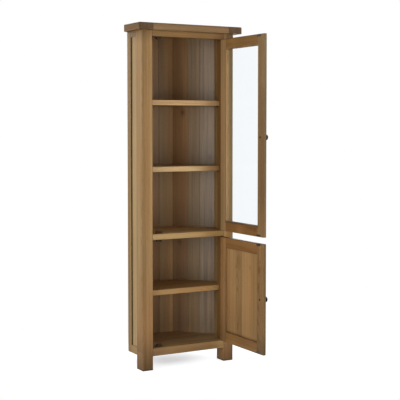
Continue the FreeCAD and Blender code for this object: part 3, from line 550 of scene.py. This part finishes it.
# Painted light and shade on the doors: a painted highlight on the edge of the glass opening, painted shade
# near the hinges and painted light further out on the rails, and painted shade at the lower door's free edge.
DOOR_LIGHT_AND_SHADE = {
    "upper_door_hinge_stile": (SIGHT_FACE_HIGHLIGHT,),
    "upper_door_top_rail": ((DOOR_IN, 10, 40, 40, (0.85, 0.77, 0.68, 1)), (DOOR_IN, -100, 40, 90, 1.13)),
    "upper_door_bottom_rail": ((DOOR_IN, -172, 40, 60, 1.28), (DOOR_IN, -400, 40, 70, 1.35)),
    "lower_door_free_stile": ((205, -404, 14, 40, 0.60),),
    "lower_door_bottom_rail": ((DOOR_IN, 8, 40, 45, 0.74), (DOOR_IN, -90, 40, 120, 1.18))}
DOOR_KNOTS = {
    "upper_door_bottom_rail": (
        (DOOR_IN, -252, 780, 12, 0.40), (DOOR_IN, -285, 776, 13, 0.55), (DOOR_IN, -320, 770, 12, 0.50)),
    "lower_door_free_stile": ((DOOR_IN, -367, 560, 15, 0.6), (DOOR_IN, -356, 470, 12, 0.45)),
    "lower_door_panel": ((205, -262, 560, 9, 0.5), (205, -148, 585, 26, 0.45))}
for member, grain, *looks in (         # palette and tone in the upper door, then in the lower one
        ("hinge_stile", "z", (STILE_OAK, 1.04), (LOWER_STILE_OAK, 1.08)),
        ("free_stile", "z", (STILE_OAK, 0.76), (LOWER_STILE_OAK, 0.96)),
        ("top_rail", "y", (UPPER_TOP_RAIL_OAK, 0.79), (LOWER_TOP_RAIL_OAK, 0.94)),
        ("bottom_rail", "y", (UPPER_BOTTOM_RAIL_OAK, 0.82), (LOWER_BOTTOM_RAIL_OAK, 0.85))):
    for door, (palette, tone) in zip(("upper", "lower"), looks):
        name = door + "_door_" + member
        oak(NODES[name], grain, *palette, tone=tone, light_shade_and_stain=DOOR_LIGHT_AND_SHADE.get(name, ()),
            fades=(DOOR_TOP_FADES[door],) + DOOR_FADES.get(name, ()), knots=DOOR_KNOTS.get(name, ()),
            **DOOR_WEAR)
oak(NODES["upper_door_glazing_beads"], "z", *STILE_OAK, tone=0.86, worn=1.5, fades=(BEAD_SHADOW,),
    light_shade_and_stain=(SIGHT_FACE_HIGHLIGHT, SIGHT_FACE_HIGHLIGHT))
oak(NODES["lower_door_panel"], "z", *PANEL_OAK, tone=1.05, streak=0.6, seams=PANEL_SEAMS, fades=PANEL_SHADES,
    light_shade_and_stain=((205, -320, 20, 90, 0.80),), knots=DOOR_KNOTS["lower_door_panel"])


# ---------------------------------------------------------------- metal, plastic and glass
# Cells of noise per metre, and bumps as (strength, metres)
CLOUD_CELLS, SCRATCH_CELLS, METAL_BUMP = (260, 260, 260), (300, 2600, 5200), (0.25, 0.0001)
WEAR_CELLS, GRIT_CELLS, PLASTIC_BUMP = (120, 120, 120), (1900, 1900, 1900), (0.3, 0.0001)
SMEAR_CELLS, WAVE_CELLS, GLASS_BUMP = (9, 16, 6), (5, 7, 4), (0.02, 0.0005)
GLASS_TINT = (0.945, 0.978, 1.0, 1)
GLASS_IOR = 1.15                       # lower than real glass, since the photo's pane shows no reflection
PLASTIC_ROUGHNESS, PLASTIC_GLOSS = 0.6, 0.2


def metal(name, colour, rough, dull, metallic=1.0, grime=0.25, gloss=0.5):
    """Metal with cloudy roughness, fine scratches and cloudy patches of dirt."""
    material, t, main = shader(name)
    spot = t.add("ShaderNodeTexCoord").outputs["Object"]
    cloud = t.noise(spot, CLOUD_CELLS, 4, 0.6)
    scratch = t.noise(spot, SCRATCH_CELLS, 2, 0.6)
    t.feed(main.inputs["Base Color"], t.mix(t.smooth(cloud, 0.35, 0.7, 0.0, grime), colour, dull))
    t.feed(main.inputs["Roughness"], t.total(rough, t.around_half(cloud, 0.3), t.around_half(scratch, 0.2)))
    main.inputs["Metallic"].default_value = metallic
    main.inputs["Specular IOR Level"].default_value = gloss
    height = t.total(t.math("MULTIPLY", cloud, 0.4), t.math("MULTIPLY", scratch, 0.6))
    t.bump(main, height, *METAL_BUMP)
    return material


def moulded_plastic(name, colour, worn_colour):
    """Fine-textured moulded plastic, a little paler in cloudy worn patches."""
    material, t, main = shader(name)
    spot = t.add("ShaderNodeTexCoord").outputs["Object"]
    grit = t.noise(spot, GRIT_CELLS, 2, 0.6)
    wear = t.noise(spot, WEAR_CELLS, 3, 0.6)
    t.feed(main.inputs["Base Color"], t.mix(t.smooth(wear, 0.4, 0.75), colour, worn_colour))
    rough = t.total(PLASTIC_ROUGHNESS, t.around_half(wear, 0.25), t.around_half(grit, 0.2))
    t.feed(main.inputs["Roughness"], rough)
    main.inputs["Specular IOR Level"].default_value = PLASTIC_GLOSS
    t.bump(main, grit, *PLASTIC_BUMP)
    return material


def pane_glass(name):
    """Clear float glass with the faintest waviness and a few smears in its gloss."""
    material, t, main = shader(name)
    spot = t.add("ShaderNodeTexCoord").outputs["Object"]
    smear = t.noise(spot, SMEAR_CELLS, 4, 0.65)
    main.inputs["Base Color"].default_value = GLASS_TINT
    t.feed(main.inputs["Roughness"], t.smooth(smear, 0.55, 0.8, 0.0, 0.03))
    main.inputs["Transmission Weight"].default_value = 1.0
    main.inputs["IOR"].default_value = GLASS_IOR
    t.bump(main, t.noise(spot, WAVE_CELLS, 1), *GLASS_BUMP)
    return material


STEEL = metal("zinc_steel", (0.60, 0.59, 0.57, 1), 0.34, (0.32, 0.30, 0.27, 1))
BRASS = metal("antique_brass", (0.50, 0.38, 0.20, 1), 0.38, (0.20, 0.15, 0.09, 1), grime=0.6)
BRONZE = metal("bronzed_screw", (0.040, 0.019, 0.010, 1), 0.5, (0.018, 0.010, 0.006, 1), grime=0.5, gloss=0.2)
IRON = metal("black_iron", (0.006, 0.005, 0.005, 1), 0.44, (0.016, 0.013, 0.011, 1),
             metallic=0.0, grime=0.7, gloss=0.04)
FERRITE = metal("dark_magnet", (0.042, 0.025, 0.014, 1), 0.6, (0.026, 0.016, 0.010, 1),
                metallic=0.0, grime=0.6, gloss=0.05)
CATCH = moulded_plastic("catch_plastic_brown", rgb(70, 49, 33), rgb(84, 61, 43))
DARK_STEEL = metal("oiled_steel_plate", (0.11, 0.095, 0.075, 1), 0.5, (0.06, 0.05, 0.04, 1), grime=0.6)
PIN_BRASS = metal("dull_pin_brass", (0.16, 0.11, 0.055, 1), 0.5, (0.07, 0.05, 0.03, 1), grime=0.6)
GLASS = pane_glass("pane_glass")

for name, material in (
        ("shelf_pins", PIN_BRASS), ("hinge_pins", BRASS), ("hinge_post_leaves", BRASS),
        ("upper_door_hinge_leaves", BRASS), ("lower_door_hinge_leaves", BRASS),
        ("upper_door_strike_plates", DARK_STEEL), ("lower_door_strike_plates", DARK_STEEL),
        ("catch_magnets", FERRITE), ("catch_housings", CATCH), ("upper_door_glass", GLASS)):
    paint(NODES[name], material)
NODES["upper_door_glass"].visible_shadow = False


# ---------------------------------------------------------------- turned and threaded hardware
def placed(name, data):
    """New object in the scene."""
    obj = bpy.data.objects.new(name, data)
    bpy.context.scene.collection.objects.link(obj)
    return obj


def mesh_data(name, mesh):
    """Mesh data from a bmesh, which is freed."""
    data = bpy.data.meshes.new(name)
    mesh.to_mesh(data)
    mesh.free()
    return data


def ring_mesh(mesh, rings, matrix):
    """Adds to a bmesh a closed solid that runs through rings of points, each with as many points."""
    rows = [[mesh.verts.new(matrix @ Vector(point)) for point in ring] for ring in rings]
    count = len(rows[0])
    for low, high in zip(rows, rows[1:]):
        for i in range(count):
            k = (i + 1) % count
            mesh.faces.new((low[i], low[k], high[k], high[i]))
    for row, order in ((rows[0], -1), (rows[-1], 1)):
        hub = mesh.verts.new(sum((v.co for v in row), Vector()) / count)
        for i in range(count):
            pair = (row[i], row[(i + 1) % count])[::order]
            mesh.faces.new((*pair, hub))


def circle(radius, height, angles):
    return [(radius * math.cos(a), radius * math.sin(a), height) for a in angles]


def cross_angles(arm, half_width):
    """Angles that hit every corner of a cross recess, with two more between, all the way round."""
    corner = math.atan2(half_width, arm)
    quarter = (0.0, corner, (corner + math.pi / 4) / 2, math.pi / 4)
    quarter += (QUARTER - quarter[2], QUARTER - corner)
    return [turn * QUARTER + a for turn in range(4) for a in quarter]


TINY = 1e-6


def cross_outline(arm, half_width, height, angles):
    """Points on the cross's outline at those angles."""
    points = []
    for a in angles:
        c, s = abs(math.cos(a)), abs(math.sin(a))
        long_way, short_way = max(c, s), min(c, s)
        reach = min(arm / long_way, half_width / short_way if short_way > TINY else arm)
        points.append((reach * math.cos(a), reach * math.sin(a), height))
    return points


# A screw's form, in shares of its head's radius where no other measure is named
ARM_REACH, ARM_HALF = 0.56, 0.13       # half length and half width of the recess's arms
RECESS_LIP, RECESS_DEPTH = 0.01, 0.42
RECESS_FLOOR = (0.8, 0.7)              # in shares of the arms' half length and half width
FACE_RADIUS = 0.68                     # of the head's flat face
TIP_RADIUS, TAPER = 0.15, 1.6          # in shares of the shank's radius
# (radius, depth) from the shank to the face, a pan head's depth in shares of its height
PAN_HEAD = ((1.0, 1.0), (1.0, 0.62), (0.93, 0.25), (0.75, 0.04))
SUNK_HEAD = ((1.0, 0.12), (0.97, 0.02))


def screw(mesh, seat, axis, head, shank, length, rise=0.0, spin=0.0):
    """Cross-recessed screw with its head's face at seat, looking along axis. All lengths are in mm.

    head and shank are radii and rise is the height of a pan head. Without it the head is countersunk.
    """
    arm, arm_half = head * ARM_REACH, head * ARM_HALF
    angles = cross_angles(arm, arm_half)
    rings = [circle(TIP_RADIUS * shank, -length, angles), circle(shank, -length + TAPER * shank, angles)]
    if rise:
        rings.append(circle(shank, -rise, angles))
        rings += [circle(radius * head, -depth * rise, angles) for radius, depth in PAN_HEAD]
    else:
        rings.append(circle(shank, -(head - shank), angles))
        rings += [circle(radius * head, -depth * head, angles) for radius, depth in SUNK_HEAD]
    rings += [circle(FACE_RADIUS * head, 0, angles), cross_outline(arm, arm_half, -RECESS_LIP * head, angles),
              cross_outline(arm * RECESS_FLOOR[0], arm_half * RECESS_FLOOR[1], -RECESS_DEPTH * head, angles)]
    rings = [[Vector(p) * MM for p in ring] for ring in rings]
    matrix = Matrix.Translation(Vector(seat) * MM) @ Vector(axis).to_track_quat("Z", "Y").to_matrix().to_4x4()
    ring_mesh(mesh, rings, matrix @ Matrix.Rotation(spin, 4, "Z"))


def piece(name, mesh, material, body, angle=40, stands_for=()):
    """Object made from a bmesh, smooth up to that angle, riding on a body."""
    bmesh.ops.recalc_face_normals(mesh, faces=mesh.faces)
    data = mesh_data(name, mesh)
    data.materials.append(material)
    data.shade_smooth()
    data.set_sharp_from_angle(angle=math.radians(angle))
    obj = placed(name, data)
    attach(obj, body)
    if stands_for:
        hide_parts(*stands_for)


def screws(name, places, material, body, size, stands_for=()):
    """One piece holding screws of one size at (seat, axis) places."""
    mesh = bmesh.new()
    for seat, axis in places:
        screw(mesh, seat, axis, spin=draw.uniform(0, QUARTER), **size)
    piece(name, mesh, material, body, stands_for=stands_for)


HINGE_SCREW = {"head": 2.95, "shank": 1.4, "length": 14.0}
KNOB_SCREW = {"head": 4.5, "shank": 2.0, "length": 30.0, "rise": 2.2}
STRIKE_SCREW = {"head": 2.5, "shank": 1.2, "length": 11.0}
EAR_SCREW = {"head": 2.7, "shank": 1.4, "length": 12.0, "rise": 1.0}
BACK_SCREW = {"head": 3.4, "shank": 1.7, "length": 24.0}

HINGE_HEIGHTS = {"upper": (833, 1257, 1681), "lower": (209, 609)}
HINGE_SCREW_STEPS = (-21, 0, 21)
POST_LEAF_X, POST_LEAF_Y = 218.05, 43          # face of the leaves on the post, middle of their screws
DOOR_LEAF_X, DOOR_LEAF_Y = 206, 30.95          # middle of the screws on the doors' leaves, face of the leaves
KNOB_Y, KNOB_HEIGHTS = -371, {"upper": 1250, "lower": 406}
KNOB_SCREW_X = 193.8
STRIKE_X, STRIKE_Y, STRIKE_STEPS = 195.5, -357, (-13, 13)
STRIKE_HEIGHTS = {"upper": (740.5, 1773.5), "lower": (126.5, 691.5)}
CATCH_X, CATCH_Y, EAR_STEPS = -170, 62, (-17, 17)
EAR_HEAD = 4.0                                 # thickness of an ear with the screw's head on it
CATCH_SEATS = ((1783, -1), (731, 1), (701, -1), (117, 1))      # height, and which way the catch stands

seats = [((POST_LEAF_X, POST_LEAF_Y, z + step), (-1, 0, 0))
         for heights in HINGE_HEIGHTS.values() for z in heights for step in HINGE_SCREW_STEPS]
screws("hinge_post_screw_heads", seats, BRASS, "carcase", HINGE_SCREW, ["hinge_post_screws"])
for door, heights in HINGE_HEIGHTS.items():
    body = door + "_door"
    seats = [((DOOR_LEAF_X, DOOR_LEAF_Y, z + step), (0, 1, 0)) for z in heights for step in HINGE_SCREW_STEPS]
    screws(body + "_hinge_screw_heads", seats, BRASS, body, HINGE_SCREW, [body + "_screws"])
    seats = [((KNOB_SCREW_X, KNOB_Y, KNOB_HEIGHTS[door]), (-1, 0, 0))]
    screws(body + "_knob_screw", seats, BRONZE, body, KNOB_SCREW, [body + "_screws"])
    seats = [((STRIKE_X, STRIKE_Y + step, z), (-1, 0, 0))
             for z in STRIKE_HEIGHTS[door] for step in STRIKE_STEPS]
    screws(body + "_strike_screws", seats, BRONZE, body, STRIKE_SCREW)

seats = [((CATCH_X + step, CATCH_Y, z + way * EAR_HEAD), (0, 0, way))
         for z, way in CATCH_SEATS for step in EAR_STEPS]
screws("catch_ear_screws", seats, BRONZE, "carcase", EAR_SCREW)

# The back boards are screwed from behind to the bottom board and the fixed shelf, heads 0.05 mm proud.
BACK_SCREW_HEIGHTS = (106, 720)
BACK_CORNER = (95.0, 404.0)                    # outside, where the flat back meets a 45 degree wall
FLAT_BACK_STEPS = (-70, -22, 22, 70)           # x on the flat back
WALL_STEPS = (20, 68, 112, 138, 180, 225)      # along a 45 degree wall from that corner
PROUD, WALL_PROUD = 0.05, 0.035                # the second along x and along y on a 45 degree wall
DIAGONAL = math.sqrt(0.5)
seats = []
for z in BACK_SCREW_HEIGHTS:
    seats += [((x, BACK_CORNER[1] + PROUD, z), (0, 1, 0)) for x in FLAT_BACK_STEPS]
    for way in (-1, 1):
        for along in WALL_STEPS:
            x, y = BACK_CORNER[0] + along * DIAGONAL, BACK_CORNER[1] - along * DIAGONAL
            seats.append(((way * (x + WALL_PROUD), y + WALL_PROUD, z), (way, 1, 0)))
screws("back_board_screws", seats, STEEL, "carcase", BACK_SCREW)

# Turned knob with a stepped rose, a waisted neck and a domed face with a soft rim: radius and height in mm
KNOB_PROFILE = (
    (0.4, 0.0), (7.4, 0.0), (8.0, 0.35), (8.0, 1.1), (7.6, 1.55), (6.6, 1.75), (5.9, 2.3), (5.5, 3.4),
    (5.35, 5.0), (5.5, 6.6), (6.1, 8.2), (7.2, 10.0), (8.8, 12.2), (10.7, 14.5), (12.3, 16.3),
    (13.2, 17.4), (13.5, 18.3), (13.35, 19.2), (12.8, 20.1), (11.6, 21.4), (9.8, 22.9), (7.6, 24.3),
    (5.0, 25.35), (2.4, 25.9), (0.4, 26.0))
KNOB_WIDER, KNOB_LONGER, KNOB_SIDES = 1.09, 1.055, 56   # scaled to the dark spots in the photo

for door, height in KNOB_HEIGHTS.items():
    angles = [i * math.tau / KNOB_SIDES for i in range(KNOB_SIDES)]
    rings = [[Vector(p) * MM for p in circle(r * KNOB_WIDER, z * KNOB_LONGER, angles)]
             for r, z in KNOB_PROFILE]
    seat = Vector((DOOR_OUT, KNOB_Y, height)) * MM
    mesh = bmesh.new()
    ring_mesh(mesh, rings, Matrix.Translation(seat) @ Matrix.Rotation(QUARTER, 4, "Y"))
    piece(door + "_door_turned_knob", mesh, IRON, door + "_door", angle=50,
          stands_for=[door + "_door_knob"])


# ---------------------------------------------------------------- floor, world, lamps, camera
FLOOR_SIZE = 14.0                      # metres from the floor's middle to its edge
FLOOR_GREYS = ((0.66, 0.69, 0.72, 1), (0.70, 0.73, 0.76, 1))
FLOOR_GLOW = (0.99, 1, 1.02, 1)
SHADOW_PATCH_PLACE, SHADOW_PATCH_HALF = (-0.03, 0.22, 0), (0.27, 0.17)   # patch of painted shadow between the legs, where the floor's glow is lower
SHADOW_PATCH_GLOW = (0.15, 1.0, 0.55, 0.82)   # span for smooth() from the patch's middle outwards
GREY_MIDDLE, GREY_REACH = (0, 0.15, 0), (0.36, 0.8)        # beyond it the floor turns white
WHITE = (1, 1, 1, 1)
LAMPS = (                              # name, place, aim, size, watts
    ("key_softbox", (-3.8, -2.4, 1.1), (0, 0, 0.9), (1.7, 2.6), 50),
    ("left_softbox", (-4.4, -0.5, 1.5), (0, 0, 0.95), (2.4, 2.4), 48),
    ("front_softbox", (-1.2, -4.8, 0.85), (0, 0, 0.85), (2.4, 1.9), 42),
    ("right_softbox", (2.6, -4.0, 1.7), (0, 0, 0.95), (2.6, 2.6), 48),
    ("rear_right_softbox", (3.4, 3.2, 2.2), (0, 0.2, 0.95), (2.6, 2.6), 70),
    ("rear_softbox", (-1.2, 4.6, 2.2), (0, 0.2, 0.95), (2.6, 2.6), 60))
WORLD_LIGHT = 0.22                     # strength of the world as a lamp
CAMERA_PLACE = (-2.6419, -4.7759, 1.3094)
CAMERA_DOWN, CAMERA_RIGHT = 3.058, 29.4        # degrees
SENSOR_WIDTH, PHOTO_WIDTH, FOCAL_LENGTH = 36.0, 400, 1014.45   # mm, pixels, pixels
CAMERA_SHIFT = -0.05                   # only frames the picture


def empty_tree(owner):
    """Node tree of a material or world without its first nodes."""
    owner.use_nodes = True
    owner.node_tree.nodes.clear()
    return Tree(owner.node_tree)


def shows_background(t):
    """1 for rays that show the background: from the camera, or by way of a mirror or glass. Else 0."""
    rays = t.add("ShaderNodeLightPath").outputs
    return t.math("MAXIMUM", t.math("MAXIMUM", rays["Is Camera Ray"], rays["Is Glossy Ray"]),
                  rays["Is Transmission Ray"])


def studio_floor():
    """Pale floor that keeps soft shadows near the cabinet and turns white further away; its glow is lower in
    a patch between the legs, a painted shadow over the real one.
    """
    mesh = bmesh.new()
    bmesh.ops.create_grid(mesh, x_segments=8, y_segments=8, size=FLOOR_SIZE)
    floor = placed("studio_floor", mesh_data("studio_floor", mesh))
    material = bpy.data.materials.new("pale_floor")
    t = empty_tree(material)
    spot = t.add("ShaderNodeTexCoord").outputs["Object"]
    away = t.length(t.vector("SUBTRACT", spot, GREY_MIDDLE))
    # the glow is lower in the patch between the legs: a painted shadow
    under = t.vector("SUBTRACT", spot, SHADOW_PATCH_PLACE)
    under = t.vector("MULTIPLY", under, (1 / SHADOW_PATCH_HALF[0], 1 / SHADOW_PATCH_HALF[1], 0))
    paper = t.add("ShaderNodeBsdfDiffuse", t.mix(t.noise(spot, (9, 9, 9), 3), *FLOOR_GREYS))
    glow = t.add("ShaderNodeEmission", FLOOR_GLOW, t.smooth(t.length(under), *SHADOW_PATCH_GLOW))
    lit = t.add("ShaderNodeAddShader", paper.outputs[0], glow.outputs[0])
    white = t.add("ShaderNodeEmission", WHITE, 1.0)
    seen = t.add("ShaderNodeMixShader", t.smooth(away, *GREY_REACH), lit.outputs[0], white.outputs[0])
    final = t.add("ShaderNodeMixShader", shows_background(t), paper.outputs[0], seen.outputs[0])
    t.add("ShaderNodeOutputMaterial", final.outputs[0])
    floor.data.materials.append(material)


def studio_world(strength):
    """World that lights the object at that strength and shows as white."""
    world = bpy.data.worlds.new("studio")
    bpy.context.scene.world = world
    t = empty_tree(world)
    level = t.math("ADD", t.math("MULTIPLY", shows_background(t), 1.0 - strength), strength)
    back = t.add("ShaderNodeBackground", WHITE, level)
    t.add("ShaderNodeOutputWorld", back.outputs[0])


def soft_lamp(name, place, aim, size, watts):
    data = bpy.data.lights.new(name, "AREA")
    data.shape = "RECTANGLE"
    data.size, data.size_y = size
    data.energy = watts
    lamp = placed(name, data)
    lamp.location = place
    lamp.visible_transmission = False
    lamp.rotation_euler = (Vector(aim) - Vector(place)).to_track_quat("-Z", "Y").to_euler()


def photo_camera():
    """Camera at the photograph's viewing angle."""
    data = bpy.data.cameras.new("photo_camera")
    data.sensor_width = SENSOR_WIDTH
    data.lens = SENSOR_WIDTH * FOCAL_LENGTH / PHOTO_WIDTH
    data.shift_y = CAMERA_SHIFT
    camera = placed("photo_camera", data)
    camera.location = CAMERA_PLACE
    camera.rotation_euler = (math.radians(90 - CAMERA_DOWN), 0, math.radians(-CAMERA_RIGHT))
    bpy.context.scene.camera = camera


studio_floor()
studio_world(WORLD_LIGHT)
for lamp in LAMPS:
    soft_lamp(*lamp)
photo_camera()

view = bpy.context.scene.view_settings
view.view_transform = "Standard"
